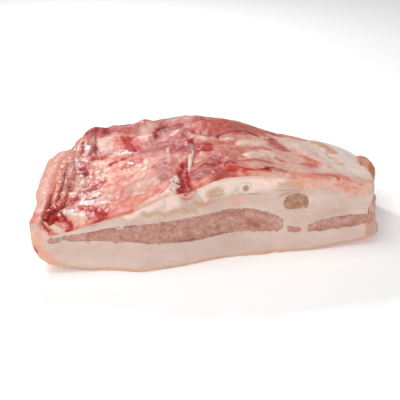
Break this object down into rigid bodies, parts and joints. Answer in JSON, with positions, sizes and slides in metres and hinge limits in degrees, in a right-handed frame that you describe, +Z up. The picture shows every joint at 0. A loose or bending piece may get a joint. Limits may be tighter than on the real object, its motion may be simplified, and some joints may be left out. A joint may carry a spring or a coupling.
{
  "type": "raw pork jowl",
  "caption": "Raw slab of pork cheek on its rind, cut straight along the front so that fat, lean, soft fat and loose top meat show as layers, with an opened gland in the cut.",
  "frame": {"origin": "middle of the bounding box in plan, on the surface that the rind lies on", "axes": "+X along the length from the narrow-edged left end to the right end as the front cut is seen, +Y from the front cut to the back, +Z up through the layers"},
  "size_m": [0.2938, 0.1532, 0.0729],
  "materials": {
    "rind_and_back_fat": "pale pinkish beige fat, firm and faintly moist, with tan rind on the outside",
    "cut_lean": "knife-cut lean meat, brownish pink with fine grain, damp",
    "soft_fat": "cream white soft fat, damp",
    "loose_lean": "wet salmon pink to red loose meat with membranes and fat lobes",
    "gland_tissue": "tan brown gland tissue, damp"
  },
  "bodies": {
    "root": {"back_fat": "rind_and_back_fat", "lean_streak": "cut_lean", "upper_fat": "soft_fat", "top_lean": "loose_lean", "gland": "gland_tissue"}
  },
  "joints": []
}
